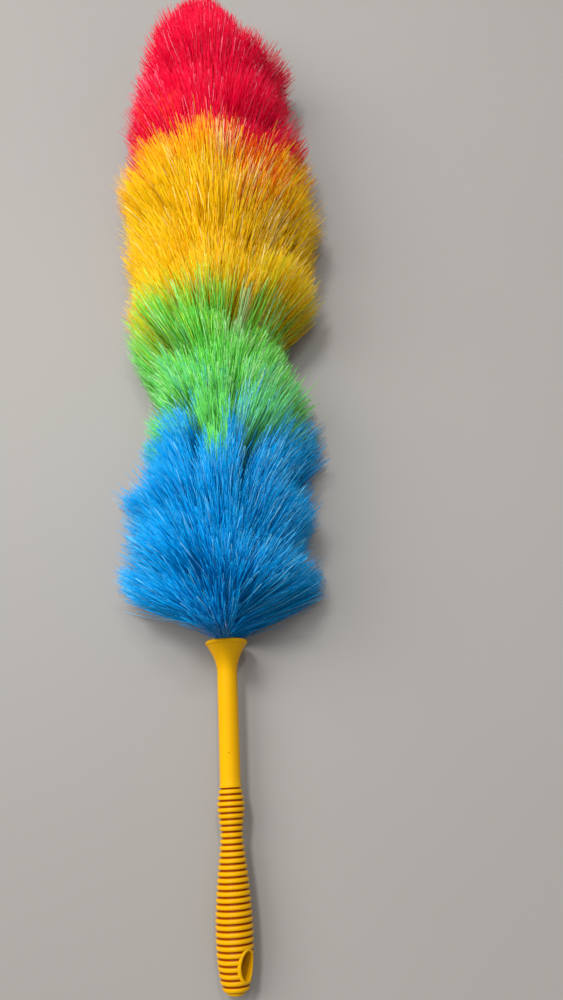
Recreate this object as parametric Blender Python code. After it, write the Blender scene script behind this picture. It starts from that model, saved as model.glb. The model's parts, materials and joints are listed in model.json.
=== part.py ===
"""Static feather duster: a moulded handle with a ribbed grip, a twisted wire core and a head of fibre rows.

Frame: metres, +Z up. The duster lies on z = 0. +Y runs from the end of the handle to the tip of the head,
+X is to its right, and the origin is under the middle of its bounding box.

Each piece is modelled about the core's own line: Y along the core from the rim of the handle's flare, with
the handle at negative Y. The two body empties then carry the pieces to their place.
"""

import math

import bmesh
import bpy
from mathutils import Matrix, Vector

MM = 0.001

# Driving dimensions
HANDLE_LENGTH = 178 * MM  # from the rim of the flare to the rounded end
HEAD_LENGTH = 522 * MM  # from the rim to the tip of the fibres
TILT = math.radians(1.4)  # the core rises from the grip to the tip
GAP = 0.3 * MM  # between pieces that touch
SEGMENTS = 24  # round each turned piece and each fibre row

# Handle, distances measured from the rim
LIP_RADIUS = 12.2 * MM
LIP_WIDTH = 2.4 * MM
LIP_ROUNDING = 0.8 * MM
TUBE_RADIUS = 5.75 * MM
FLARE_LENGTH = 18 * MM
FLARE_POWER = 1.9
FLARE_STEPS = 6
STEP_RING_AT = 78.3 * MM
STEP_RING_HEIGHT = 0.3 * MM
GRIP_START = 80.35 * MM
RIB_PITCH = 3.09 * MM
RIBS = 31
GROOVE_WIDTH = 0.8 * MM
GROOVE_DEPTH = 1.0 * MM
# The line over the ribs' crests, as distance from the rim and radius in mm
GRIP_OUTLINE = (
    (82, 6.6), (87.5, 7.5), (91, 7.5), (104, 6.2), (110.5, 6.8), (123, 8.2), (138.5, 9.5), (148, 9.9),
    (158, 9.7), (167, 8.7), (172, 7.8), (175, 6.7), (178, 5.6),
)
END_ROUNDING_STEPS = 3

# Mouth, socket and plug
MOUTH_RADIUS = 10.4 * MM
SEAT_RADIUS = 4.2 * MM
SEAT_DEPTH = 13 * MM
SOCKET_RADIUS = 2.5 * MM
SOCKET_DEPTH = 52 * MM
PLUG_SETBACK = 1.2 * MM
LUG_SIZE = (1.4 * MM, 4.2 * MM, 1.4 * MM)
LUG_CENTRE = (-6.5 * MM, 0.2 * MM, 4.9 * MM)

# Hanging hole: an oval through the grip, turned about the core from straight up towards +X
HOLE_AT = 164.2 * MM
HOLE_TURN = math.radians(48)
HOLE_SIZE = (7.9 * MM, 13.2 * MM)
HOLE_WALL = 1.3 * MM
HOLE_TOP_FACE = 8.9 * MM
HOLE_BACK_FACE = 8.2 * MM
SPOT_CLEARANCE = 0.3 * MM
OVAL_STEPS = 20

# Core: two wires twisted together, each half-turn holding one row of fibres
WIRE_RADIUS = 1.0 * MM
WIRE_OFFSET = WIRE_RADIUS + GAP / 2
ROW_PITCH = 20 * MM
TWIST_PITCH = 2 * ROW_PITCH
WIRE_STEPS = 10  # points in one turn
BEND_AT = 5 * MM  # the bend of the neck, from the rim
BEND_CLEARANCE = 1.1 * MM
TAIL_END = -48 * MM
CORE_END = 468 * MM
CAP_RADIUS = 3.6 * MM
CAP_LENGTH = 10 * MM
CAP_OVERLAP = 6 * MM

# Fibre rows
ROW_BORE = 2.5 * MM
FIRST_ROOT = 7.2 * MM
ROW_COLOURS = (("blue", 5), ("green", 3), ("yellow", 6), ("red", 8))
# Half the width of the head, as distance from the rim and half-width in mm
HEAD_OUTLINE = (
    (0, 57), (35, 61), (95, 59), (135, 52), (175, 51), (205, 57), (220, 65), (275, 68), (340, 72),
    (390, 67), (450, 59), (475, 51), (495, 39), (511, 27), (522, 0),
)
TOP_SHARE = 0.85  # height above the core over half the width
# How far the fibres lean towards the tip, as distance from the rim in mm and degrees from square to the core
LEAN = ((7, 20), (60, 30), (150, 42), (300, 45), (400, 50), (448, 60))
TIP_RINGS = (502, 512, 519)  # mm from the rim

COLOURS = {
    "yellow_plastic": ((0.90, 0.50, 0.0), 0.25, 0.0),
    "zinc_wire": ((0.60, 0.61, 0.62), 0.35, 1.0),
    "clear_cap": ((0.75, 0.75, 0.73), 0.4, 0.0),
    "blue": ((0.0, 0.19, 0.58), 0.45, 0.0),
    "green": ((0.07, 0.50, 0.04), 0.45, 0.0),
    "yellow": ((1.0, 0.50, 0.0), 0.45, 0.0),
    "red": ((0.75, 0.0, 0.01), 0.45, 0.0),
}


def between(points, at):
    """The straight-line value at a place, from (place, value) points. Beyond the ends it stays the same."""
    if at <= points[0][0]:
        return points[0][1]
    for (x0, y0), (x1, y1) in zip(points, points[1:]):
        if at <= x1:
            return y0 + (y1 - y0) * (at - x0) / (x1 - x0)
    return points[-1][1]


def crest_radius(distance):
    return between(GRIP_OUTLINE, distance / MM) * MM


def rib_edges():
    """For each rib, the distances at which its groove starts, its crest starts and its crest ends."""
    for index in range(RIBS):
        start = GRIP_START + index * RIB_PITCH
        yield start, start + GROOVE_WIDTH / 2, start + RIB_PITCH - GROOVE_WIDTH / 2


def resting_height():
    """The height of the rim's centre with the thickest rib on the floor."""
    return max(
        place * math.sin(TILT) + crest_radius(place) * math.cos(TILT)
        for _, start, end in rib_edges()
        for place in (start, end)
    )


MOUTH_HEIGHT = resting_height()
MOUTH_PLACE = Vector((0, -(HEAD_LENGTH - HANDLE_LENGTH) / 2 * math.cos(TILT), MOUTH_HEIGHT))
CORE_FRAME = Matrix.Translation(MOUTH_PLACE) @ Matrix.Rotation(TILT, 4, "X")


def clear_scene():
    for obj in list(bpy.data.objects):
        bpy.data.objects.remove(obj, do_unlink=True)


def material(name):
    colour, roughness, metallic = COLOURS[name]
    made = bpy.data.materials.get(name) or bpy.data.materials.new(name)
    made.use_nodes = True
    shader = made.node_tree.nodes["Principled BSDF"]
    shader.inputs["Base Color"].default_value = (*colour, 1)
    shader.inputs["Roughness"].default_value = roughness
    shader.inputs["Metallic"].default_value = metallic
    return made


def body(name, matrix):
    empty = bpy.data.objects.new(name, None)
    empty.matrix_basis = matrix
    bpy.context.scene.collection.objects.link(empty)
    return empty


def add_object(name, data, colour, parent):
    obj = bpy.data.objects.new(name, data)
    bpy.context.scene.collection.objects.link(obj)
    obj.parent = parent
    obj.matrix_parent_inverse = parent.matrix_basis.inverted()
    obj.matrix_basis = CORE_FRAME
    if colour:
        data.materials.append(material(colour))
    return obj


def add_mesh(name, bm, colour, parent):
    bmesh.ops.recalc_face_normals(bm, faces=bm.faces)
    mesh = bpy.data.meshes.new(name)
    bm.to_mesh(mesh)
    bm.free()
    mesh.shade_smooth()
    mesh.set_sharp_from_angle(angle=math.radians(35))
    return add_object(name, mesh, colour, parent)


def turned(name, profile, colour, parent):
    """A solid turned about the core. The profile's points are (along the core, radius)."""
    bm = bmesh.new()
    points = [bm.verts.new((0, along, radius)) for along, radius in profile]
    edges = [bm.edges.new(pair) for pair in zip(points, points[1:])]
    if profile[0][1] > 0:
        edges.append(bm.edges.new((points[-1], points[0])))
    bmesh.ops.spin(
        bm, geom=points + edges, axis=(0, 1, 0), cent=(0, 0, 0), angle=2 * math.pi, steps=SEGMENTS, use_merge=True
    )
    bmesh.ops.remove_doubles(bm, verts=bm.verts, dist=1e-6)
    return add_mesh(name, bm, colour, parent)


def flare_radius(distance):
    share = (distance - LIP_WIDTH) / (FLARE_LENGTH - LIP_WIDTH)
    lip_foot = LIP_RADIUS - LIP_ROUNDING
    return TUBE_RADIUS + (lip_foot - TUBE_RADIUS) * (1 - share) ** FLARE_POWER


def handle_profile():
    """The handle's outline from the bottom of its socket, out over the rim and down to its end."""
    profile = [(-SOCKET_DEPTH, 0), (-SOCKET_DEPTH, SOCKET_RADIUS), (-SEAT_DEPTH, SOCKET_RADIUS)]
    profile += [(-SEAT_DEPTH, SEAT_RADIUS), (0, MOUTH_RADIUS), (0, LIP_RADIUS - LIP_ROUNDING)]
    profile += [(-LIP_ROUNDING, LIP_RADIUS), (LIP_ROUNDING - LIP_WIDTH, LIP_RADIUS)]
    for step in range(FLARE_STEPS + 1):
        distance = LIP_WIDTH + (FLARE_LENGTH - LIP_WIDTH) * step / FLARE_STEPS
        profile.append((-distance, flare_radius(distance)))
    ring_radius = TUBE_RADIUS + STEP_RING_HEIGHT
    profile += [(-STEP_RING_AT, TUBE_RADIUS), (-STEP_RING_AT, ring_radius), (GAP - GRIP_START, ring_radius)]
    for groove, start, end in rib_edges():
        profile.append((-groove, crest_radius(groove) - GROOVE_DEPTH))
        profile.append((-start, crest_radius(start)))
        profile.append((-end, crest_radius(end)))
    last = -profile[-1][0]
    for step in range(1, END_ROUNDING_STEPS + 1):
        turn = math.pi / 2 * step / END_ROUNDING_STEPS
        radius = crest_radius(last) * math.cos(turn)
        profile.append((-last - (HANDLE_LENGTH - last) * math.sin(turn), max(radius, 0)))
    profile[-1] = (-HANDLE_LENGTH, 0)
    return profile


def oval_prism(name, size, low, high, parent):
    """A closed oval prism along the hanging hole's line, between two distances from the core."""
    width, length = size
    bm = bmesh.new()
    corners = []
    for step in range(OVAL_STEPS):
        turn = 2 * math.pi * step / OVAL_STEPS
        corners.append(bm.verts.new((width / 2 * math.cos(turn), length / 2 * math.sin(turn), low)))
    base = bm.faces.new(corners)
    raised = bmesh.ops.extrude_face_region(bm, geom=[base])["geom"]
    tops = [item for item in raised if isinstance(item, bmesh.types.BMVert)]
    bmesh.ops.translate(bm, verts=tops, vec=(0, 0, high - low))
    place = Matrix.Translation((0, -HOLE_AT, 0)) @ Matrix.Rotation(HOLE_TURN, 4, "Y")
    bmesh.ops.transform(bm, matrix=place, verts=bm.verts)
    prism = add_mesh(name, bm, None, parent)
    prism.hide_render = True
    prism.display_type = "WIRE"
    return prism


def combine(obj, other, operation):
    modifier = obj.modifiers.new(other.name, "BOOLEAN")
    modifier.operation = operation
    modifier.solver = "EXACT"
    modifier.object = other


def grown(size, by):
    return size[0] + 2 * by, size[1] + 2 * by


def make_handle(parent):
    handle = turned("handle_shell", handle_profile(), "yellow_plastic", parent)
    rim = grown(HOLE_SIZE, HOLE_WALL)
    spot = grown(rim, SPOT_CLEARANCE)
    beyond = 2 * LIP_RADIUS
    faces_cut = (
        ("spot_face_top", HOLE_TOP_FACE - SPOT_CLEARANCE, beyond),
        ("spot_face_back", -beyond, SPOT_CLEARANCE - HOLE_BACK_FACE),
    )
    for name, low, high in faces_cut:
        combine(handle, oval_prism(name, spot, low, high, parent), "DIFFERENCE")
    combine(handle, oval_prism("hole_rim", rim, -HOLE_BACK_FACE, HOLE_TOP_FACE, parent), "UNION")
    combine(handle, oval_prism("hanging_hole", HOLE_SIZE, -beyond, beyond, parent), "DIFFERENCE")


def make_plug(parent):
    """The collar in the mouth that centres the wires, with its small lug."""
    slope = (MOUTH_RADIUS - SEAT_RADIUS) / SEAT_DEPTH
    front, back = PLUG_SETBACK, SEAT_DEPTH - GAP
    hole = WIRE_OFFSET + WIRE_RADIUS + GAP
    fit = GAP * math.sqrt(1 + slope * slope)
    profile = [
        (-front, hole),
        (-front, MOUTH_RADIUS - slope * front - fit),
        (-back, MOUTH_RADIUS - slope * back - fit),
        (-back, hole),
    ]
    plug = turned("core_plug", profile, "yellow_plastic", parent)
    bm = bmesh.new()
    bmesh.ops.create_cube(bm, size=1)
    bmesh.ops.scale(bm, vec=LUG_SIZE, verts=bm.verts)
    bmesh.ops.translate(bm, vec=LUG_CENTRE, verts=bm.verts)
    lug = add_mesh("plug_lug", bm, None, parent)
    lug.hide_render = True
    lug.display_type = "WIRE"
    combine(plug, lug, "UNION")


def make_strand(name, low, high, phase, parent):
    """One wire of the twisted pair, from one place along the core to another."""
    curve = bpy.data.curves.new(name, "CURVE")
    curve.dimensions = "3D"
    curve.bevel_depth = WIRE_RADIUS
    curve.bevel_resolution = 1
    curve.use_fill_caps = True
    steps = max(2, round((high - low) / TWIST_PITCH * WIRE_STEPS))
    spline = curve.splines.new("POLY")
    spline.points.add(steps)
    for step, point in enumerate(spline.points):
        along = low + (high - low) * step / steps
        turn = 2 * math.pi * along / TWIST_PITCH + phase
        point.co = (WIRE_OFFSET * math.cos(turn), along, WIRE_OFFSET * math.sin(turn), 1)
    add_object(name, curve, "zinc_wire", parent)


def make_tip_cap(parent):
    """The rounded cap over the wires' cut ends."""
    hole = WIRE_OFFSET + WIRE_RADIUS + GAP
    back = CORE_END - CAP_OVERLAP
    front = back + CAP_LENGTH
    round_start = front - CAP_RADIUS * 0.6
    profile = [
        (CORE_END + GAP, 0),
        (CORE_END + GAP, hole),
        (back, hole),
        (back, CAP_RADIUS),
        (round_start, CAP_RADIUS),
        (front - 0.6 * MM, CAP_RADIUS * 0.6),
        (front, 0),
    ]
    turned("tip_cap", profile, "clear_cap", parent)


def lean(place):
    """How far the fibres run forward for each unit out from the core."""
    return math.tan(math.radians(between(LEAN, place / MM)))


def outline_radius(place, up_share):
    """The head's reach from the core in one direction: a low dome above the core, round below it."""
    half_width = between(HEAD_OUTLINE, place / MM) * MM
    if up_share <= 0:
        return half_width
    side_share = math.sqrt(max(0, 1 - up_share * up_share))
    return half_width / math.hypot(side_share, up_share / TOP_SHARE)


def floor_radius(root, up_share, forward):
    """How far out a fibre gets before it meets the floor."""
    drop = -up_share * math.cos(TILT) - forward * math.sin(TILT)
    height = MOUTH_HEIGHT + root * math.sin(TILT)
    return height / drop if drop > 0 else math.inf


def reach(root, up_share):
    """The radius at which the fibres from one place on the core end."""
    forward = lean(root)
    low, high = ROW_BORE, HEAD_LENGTH
    for _ in range(40):
        middle = (low + high) / 2
        inside = middle < outline_radius(root + middle * forward, up_share)
        low, high = (middle, high) if inside else (low, middle)
    return min(low, floor_radius(root, up_share, forward))


def directions():
    for index in range(SEGMENTS):
        turn = 2 * math.pi * index / SEGMENTS
        yield math.sin(turn), math.cos(turn)


def cone_ring(bm, root, radius_of):
    """A ring of points on the cone of fibres that start from one place on the core."""
    ring = []
    for side, up in directions():
        radius = radius_of(up)
        ring.append(bm.verts.new((radius * side, root + radius * lean(root), radius * up)))
    return ring


def skin(bm, rings):
    """Joins rings of points one after the other."""
    for first, second in zip(rings, rings[1:]):
        for index in range(SEGMENTS):
            after = (index + 1) % SEGMENTS
            bm.faces.new((first[index], first[after], second[after], second[index]))


def make_fibre_row(name, back, front, colour, parent):
    """The fibres held by one half-turn of the core: a leaning, flat-based cone with a bore for the wires."""
    bm = bmesh.new()
    rings = [
        cone_ring(bm, back, lambda up: ROW_BORE),
        cone_ring(bm, back, lambda up: reach(back, up)),
        cone_ring(bm, front, lambda up: reach(front, up)),
        cone_ring(bm, front, lambda up: ROW_BORE),
    ]
    skin(bm, rings + rings[:1])
    add_mesh(name, bm, colour, parent)


def level_ring(bm, place):
    """A ring of points square to the core, on the head's outline."""
    ring = []
    for side, up in directions():
        radius = min(outline_radius(place, up), floor_radius(place, up, 0))
        ring.append(bm.verts.new((radius * side, place, radius * up)))
    return ring


def make_tip_tuft(back, colour, parent):
    """The last fibres, which close the head over the tip cap."""
    bore = CAP_RADIUS + 2 * GAP
    bore_end = CORE_END - CAP_OVERLAP + CAP_LENGTH + 2 * GAP
    bm = bmesh.new()
    bore_ring = [bm.verts.new((bore * side, bore_end, bore * up)) for side, up in directions()]
    rings = [
        bore_ring,
        cone_ring(bm, back, lambda up: bore),
        cone_ring(bm, back, lambda up: reach(back, up)),
    ]
    rings += [level_ring(bm, place * MM) for place in TIP_RINGS]
    skin(bm, rings)
    for ring, place in ((bore_ring, bore_end), (rings[-1], HEAD_LENGTH)):
        pole = bm.verts.new((0, place, 0))
        for index in range(SEGMENTS):
            bm.faces.new((ring[index], ring[(index + 1) % SEGMENTS], pole))
    add_mesh("red_tip_tuft", bm, colour, parent)


def make_head(parent):
    root = FIRST_ROOT
    for colour, count in ROW_COLOURS:
        for number in range(1, count + 1):
            name = f"{colour}_fibre_row_{number}"
            make_fibre_row(name, root, root + ROW_PITCH - 2 * GAP, colour, parent)
            root += ROW_PITCH
    make_tip_tuft(root, ROW_COLOURS[-1][0], parent)


def main():
    clear_scene()
    bend_place = CORE_FRAME @ Vector((0, BEND_AT, 0))
    handle = body("handle", CORE_FRAME)
    head = body("head", Matrix.Translation(bend_place))
    make_handle(handle)
    make_plug(handle)
    for letter, phase in (("a", 0), ("b", math.pi)):
        make_strand(f"wire_tail_{letter}", TAIL_END, BEND_AT - BEND_CLEARANCE, phase, handle)
        make_strand(f"core_wire_{letter}", BEND_AT + BEND_CLEARANCE, CORE_END, phase, head)
    make_tip_cap(head)
    make_head(head)


main()
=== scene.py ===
"""The visual model of a duster with synthetic fibres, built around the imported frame.

Everything is modelled about the core's own line: Y along the core from the rim of the handle's flare,
positive towards the tip of the head, X to the right and Z up. CORE then moves it to its place.
"""

import functools
import json
import math

import bmesh
import bpy
import numpy as np
from mathutils import Matrix, Vector


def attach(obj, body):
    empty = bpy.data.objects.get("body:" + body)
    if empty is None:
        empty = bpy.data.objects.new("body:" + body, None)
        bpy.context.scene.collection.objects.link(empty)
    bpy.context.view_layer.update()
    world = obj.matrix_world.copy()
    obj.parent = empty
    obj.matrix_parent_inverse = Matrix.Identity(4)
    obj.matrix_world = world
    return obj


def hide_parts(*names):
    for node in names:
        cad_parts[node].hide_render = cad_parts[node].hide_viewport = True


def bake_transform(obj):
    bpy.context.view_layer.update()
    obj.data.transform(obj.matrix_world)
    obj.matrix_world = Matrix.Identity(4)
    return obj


MM = 0.001

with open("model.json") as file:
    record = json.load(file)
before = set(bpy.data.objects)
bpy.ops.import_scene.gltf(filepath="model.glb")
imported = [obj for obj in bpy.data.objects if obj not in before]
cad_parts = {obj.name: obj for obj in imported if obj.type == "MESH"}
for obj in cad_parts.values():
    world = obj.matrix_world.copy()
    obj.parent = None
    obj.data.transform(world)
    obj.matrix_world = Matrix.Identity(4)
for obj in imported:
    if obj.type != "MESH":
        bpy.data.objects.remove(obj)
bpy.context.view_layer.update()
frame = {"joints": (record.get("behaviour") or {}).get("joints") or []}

# Where the core runs: through the neck's hinge, which is 5 mm beyond the rim, rising to the tip
TILT = math.radians(1.4)
BEND_AT = 5 * MM
NECK = Vector(frame["joints"][0]["pos_m"])
CORE = Matrix.Translation(NECK) @ Matrix.Rotation(TILT, 4, "X") @ Matrix.Translation((0, -BEND_AT, 0))

# Handle, in mm, distances measured back from the rim
HANDLE_LENGTH = 178
LIP_RADIUS = 12.2
LIP_WIDTH = 2.4
LIP_ROUNDING = 1.05
LIP_STEPS = 6
TUBE_RADIUS = 5.75
FLARE_END = 18
FLARE_POWER = 1.9
FLARE_STEPS = 26
STEP_RING_AT = 78.3
STEP_RING_HEIGHT = 0.3
GRIP_START = 80.35
RIB_PITCH = 3.09
RIBS = 31
GROOVE_WIDTH = 0.62
GROOVE_DEPTH = 1.2
RIB_FULLNESS = 2.15  # the power of the rib's rounded section: 2 is round, more is squarer
RIB_FOOT = 0.12  # how far above the groove's bottom the rounded section starts
RIB_STEPS = 14
GRIP_OUTLINE = (
    (78, 5.9), (82, 6.6), (87.5, 7.5), (91, 7.5), (97, 6.7), (104, 6.2), (110.5, 6.8), (123, 8.2),
    (138.5, 9.5), (148, 9.82), (158, 9.65), (167, 8.7), (172, 7.8), (175, 6.7), (178, 5.6),
)
BUTTON_RADIUS = 4.9
BUTTON_EDGE = 0.15  # its straight part, before it rounds off
BUTTON_STEPS = 8
HANDLE_SEGMENTS = 144

# Mouth and socket, in mm
MOUTH_RADIUS = 10.4
SEAT_RADIUS = 4.2
SEAT_DEPTH = 13
SOCKET_RADIUS = 2.5
SOCKET_DEPTH = 52
MOUTH_SLOPE = (MOUTH_RADIUS - SEAT_RADIUS) / SEAT_DEPTH  # of the mouth's cone
MOUTH_PAINTED_SHADE = 0.5  # painted shade inside the mouth: how dark its inside is painted, where 1 is the bottom of a groove
PLUG_SETBACK = 1.2
PLUG_FIT = 0.35
PLUG_CHAMFER = 0.4
PLUG_SEGMENTS = 72
LUG_RADIUS = 8.14  # from the core to the lug's middle
LUG_TURN = math.radians(-53)
LUG_HALF_WIDTH = 0.9
LUG_SPAN = (-1.9, 1.9)  # its straight part, along the core
LUG_END = 2.3
LUG_SEGMENTS = 24

# Hanging hole, in mm
HOLE_AT = 164.2
HOLE_TURN = math.radians(48)
HOLE_HALF = (3.95, 6.6)
HOLE_WALL = 1.35
HOLE_RAISE = 0.15
HOLE_EDGE = 0.5  # radius of the rim's two rounded edges
HOLE_EDGE_STEPS = 5
HOLE_SIDES = 96

# Core, in mm
WIRE_RADIUS = 1.0
WIRE_OFFSET = 1.15
TWIST_PITCH = 40
WIRE_START = -48
WIRE_END = 468
WIRE_SIDES = 12
WIRE_STEPS_IN_TURN = 36
CORE_HOLE = WIRE_OFFSET + WIRE_RADIUS + 0.3  # round both wires, in the collar and in the cap
CAP_RADIUS = 3.6
CAP_BACK = 462
CAP_LENGTH = 10
CAP_DOME = 3
CAP_EDGE = 0.4
CAP_STEPS = 12
CAP_SEGMENTS = 48

# Head, in mm
ROW_BORE = 2.5
FIRST_ROOT = 7.2  # the nominal start of the first row, whose strands also fill the mouth
ROW_PITCH = 20
ROWS = (("blue", 5), ("green", 3), ("yellow", 6), ("red", 8))
TIP = 522
# How far the head reaches from the core to the left and to the right: (place along the core, reach)
LEFT_REACH = (
    (0, 55), (28, 62), (45, 64), (60, 62), (78, 57), (97, 63), (105, 51), (112, 50), (125, 47),
    (149, 46), (160, 46), (175, 51), (205, 60), (256, 60), (335, 69), (352, 65), (375, 66),
    (402, 61), (430, 58), (470, 51), (495, 36), (505, 33), (514, 24), (522, 0),
)
RIGHT_REACH = (
    (0, 51), (28, 58), (59, 54), (75, 61), (93, 59), (108, 66), (125, 63), (140, 65), (155, 63),
    (170, 56), (188, 47), (201, 46), (214, 68), (235, 71), (252, 66), (277, 74), (290, 75),
    (335, 71), (352, 67), (372, 68), (402, 61), (435, 61), (455, 52), (475, 27), (495, 16),
    (505, 13), (514, 9), (522, 0),
)
TIP_ROOTS = (436, 462)
TIP_STRANDS = 1.4  # times the strands of a row
TIP_OPENING = 52  # the widest angle between the last strands and the core, in degrees
TIP_UNEVENNESS = 0.06
TIP_PAINTED_GLINT = 0.8  # how pale its pale strands are, which paint glints
TOP_SHARE = 0.85  # how high the head reaches, as a share of its reach to the sides
ROUND_END = (450, 470)  # over this stretch the top comes to follow the wider of the two sides
# How far the strands lean towards the tip, in degrees, by the place of their roots
LEAN = ((-2, 23), (7, 25), (28, 28), (60, 31), (150, 42), (275, 41), (320, 45), (400, 50), (448, 60))
LEAN_LIMITS = (4, 72)
# How much further the strands on top lean
TOP_LEAN = ((-2, -12), (10, -8), (28, 6), (50, 14), (80, 8), (110, 3), (275, -3), (330, 0), (448, 0))
STRAND_LENGTH = {"blue": 82, "green": 88, "yellow": 104, "red": 110}  # at most

# Fibres
WEDGE = (0, 0, 0, 9, 18)  # half the angle at the top of each blue row that has green strands, in degrees
PARTING = (0, 0, 0, 1, 4)  # how far the top of each blue row parts to the left and right, in degrees
PARTING_WIDTH = math.radians(22)
STRANDS = 3800  # in each row
# The rows at the mouth have this many times more, which spread out instead of gathering in locks
MORE_STRANDS = {"blue_fibre_row_1": 1.6, "blue_fibre_row_2": 1.3}
STRANDS_IN_TUFT = 12
ROOT_SCATTER = (2.2, 1.2)  # of the tufts, and of the strands in each
INNER_SCATTER = 7  # of the tufts, in rows with the same colour on both sides
TUFT_SPREAD = 0.09  # of a tuft's strands round the core, in radians
TUFT_LENGTHS = 0.04  # how uneven the tufts' lengths are
LEAN_SCATTER = 4
MORE_LEAN_SCATTER = 5  # on top, in the rows at the mouth
LOBES = 8  # broad locks in each row
LOBE_OFFSET = 0.3  # how unevenly the locks are spaced, at most
LOBE_REACH = (0.95, 1.05)
LOBE_LEAN = 3
# How strongly strands gather in locks and in tufts
LOBE_PULL = {"blue": 0.26, "green": 0.1, "yellow": 0.08, "red": 0.08}
TUFT_PULL = {"blue": 0.2, "green": 0.24, "yellow": 0.3, "red": 0.38}
# How uneven the strands' lengths are in each colour's last row, and how much more in its others
UNEVENNESS = {"blue": 0.045, "green": 0.04, "yellow": 0.03, "red": 0.03}
MORE_UNEVEN = 1.8
STRAY_SHARE = 0.03
LONGEST = 1.1  # the longest strand, as a share of the head's reach
SHORTEST = ROW_BORE + 4  # the least reach, in mm
# Strands within this angle of the lug have their roots at least this far along the core
LUG_GAP = (math.radians(26), LUG_END + 2)
# The share of strands of mixed colour in each colour's first row and in its last row
BORDER_BEHIND = {"green": 0.3, "yellow": 0.3, "red": 0.12}
BORDER_AHEAD = 0.3
BORDER_MIX = (0.3, 1)  # how much of the other band's colour the mixed strands have
PAINTED_GLINT_MIX = (0.35, 1)  # how pale the pale strands are, which paint glints and sheen
STRAND_HALF_WIDTH = 0.205
STRAND_WIDTHS = (0.6, 1.3)  # times that
STRAND_TAPER = 0.4
STRAND_RIDGE = 0.35  # the ridge down one side of each flat strand, over half its width
STRAND_POINTS = 6
STRAND_FOOT = 0.6  # where strands start, as a share of the row's bore
CURL = (0.18, 0.15)  # how much strands curve towards the tip: the middle and the scatter
SWAY = 0.07  # scatter of the strands' bend sideways, in radians
WAVER = 0.012  # and of each point
FLOOR_CLEARANCE = 0.25
DROOP = 5  # of the ends of strands that point sideways
FLOOR_SOFTNESS = 2.5  # how gradually the strands come to lie on the floor
# The share of pale strands, which paint glints and sheen, on the left, and how many more there are on the
# right
PAINTED_GLINT_SHARE = {"blue": (0.04, 0.14), "green": (0.13, 0.14), "yellow": (0.02, 0.04), "red": (0.025, 0.015)}
# Rows with a pale patch, whose strands paint glints and sheen, or with more strands of the band ahead:
# angle and half width in degrees, share
PAINTED_GLINT_PATCHES = {
    ("red", 3): (-60, 20, 0.2),
    ("yellow", 6): (13, 7, 0.5), ("yellow", 5): (30, 8, 0.4), ("yellow", 3): (52, 9, 0.35),
    ("green", 3): (25, 14, 0.75), ("green", 2): (-62, 30, 0.5), ("green", 1): (34, 20, 0.4),
    ("blue", 5): (22, 9, 0.3), ("blue", 4): (26, 13, 0.35), ("blue", 3): (42, 18, 0.3),
    ("blue", 2): (-90, 20, 0.3), ("blue", 1): (-90, 16, 0.35),
}
AHEAD_PATCHES = {
    ("yellow", 6): (31, 20, 1.0), ("yellow", 5): (36, 19, 0.85), ("yellow", 4): (52, 16, 0.2),
    ("green", 3): (-70, 16, 0.4), ("blue", 5): (40, 27, 1.0),
}
AHEAD_MIX = 0.9  # how much of the band ahead's colour the strands of a patch have


def linear(red, green, blue):
    """A colour given as screen values from 0 to 255, as the linear RGBA that shaders use."""
    def channel(value):
        share = value / 255
        return share / 12.92 if share <= 0.04045 else ((share + 0.055) / 1.055) ** 2.4
    return channel(red), channel(green), channel(blue), 1


def curve_through(points, at):
    """A smooth line through (place, value) points, read at one place or at an array of them."""
    places, values = np.array(points, float).T
    slopes = np.gradient(values, places)
    at = np.clip(at, places[0], places[-1])
    index = np.clip(np.searchsorted(places, at) - 1, 0, len(places) - 2)
    width = places[index + 1] - places[index]
    t = (at - places[index]) / width
    rise = (2 * t**3 - 3 * t**2 + 1) * values[index] + (3 * t**2 - 2 * t**3) * values[index + 1]
    bend = (t**3 - 2 * t**2 + t) * slopes[index] + (t**3 - t**2) * slopes[index + 1]
    return rise + width * bend


# ---------------------------------------------------------------- meshes


def add_mesh(name, vertices, faces, sharp=35):
    """An object from faces and from vertices in mm about the core, smooth but for its sharp edges."""
    mesh = bpy.data.meshes.new(name)
    mesh.from_pydata((np.asarray(vertices) * MM).tolist(), [], [list(map(int, face)) for face in faces])
    mesh.transform(CORE)
    mesh.validate()
    mesh.shade_smooth()
    mesh.set_sharp_from_angle(angle=math.radians(sharp))
    obj = bpy.data.objects.new(name, mesh)
    bpy.context.scene.collection.objects.link(obj)
    return obj


def grid_faces(rows, columns, start=0):
    """Quads over rows of points that close round on themselves."""
    faces = []
    for row in range(rows - 1):
        for column in range(columns):
            after = (column + 1) % columns
            low, high = start + row * columns, start + (row + 1) * columns
            faces.append((low + column, low + after, high + after, high + column))
    return faces


def turned(name, profile, segments, sharp=35):
    """A solid turned about the core from (along, radius) points that end on it or close in a ring."""
    closed = profile[0][1] > 0
    ring_points = profile + profile[:1] if closed else profile[1:-1]
    turns = np.linspace(0, 2 * math.pi, segments, endpoint=False)
    vertices = [
        (radius * math.sin(turn), along, radius * math.cos(turn))
        for along, radius in (profile if closed else ring_points)
        for turn in turns
    ]
    faces = grid_faces(len(ring_points) - (1 if closed else 0), segments)
    if closed:
        last = (len(profile) - 1) * segments
        faces += [
            (last + column, last + (column + 1) % segments, (column + 1) % segments, column)
            for column in range(segments)
        ]
    else:
        first_pole, last_pole = len(vertices), len(vertices) + 1
        vertices += [(0, profile[0][0], 0), (0, profile[-1][0], 0)]
        last = (len(ring_points) - 1) * segments
        for column in range(segments):
            after = (column + 1) % segments
            faces.append((after, column, first_pole))
            faces.append((last + column, last + after, last_pole))
    obj = add_mesh(name, vertices, faces, sharp)
    face_out(obj)
    return obj


def face_out(obj):
    """Turns a closed mesh's faces outwards."""
    bm = bmesh.new()
    bm.from_mesh(obj.data)
    bmesh.ops.recalc_face_normals(bm, faces=bm.faces)
    bm.to_mesh(obj.data)
    bm.free()


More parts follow.
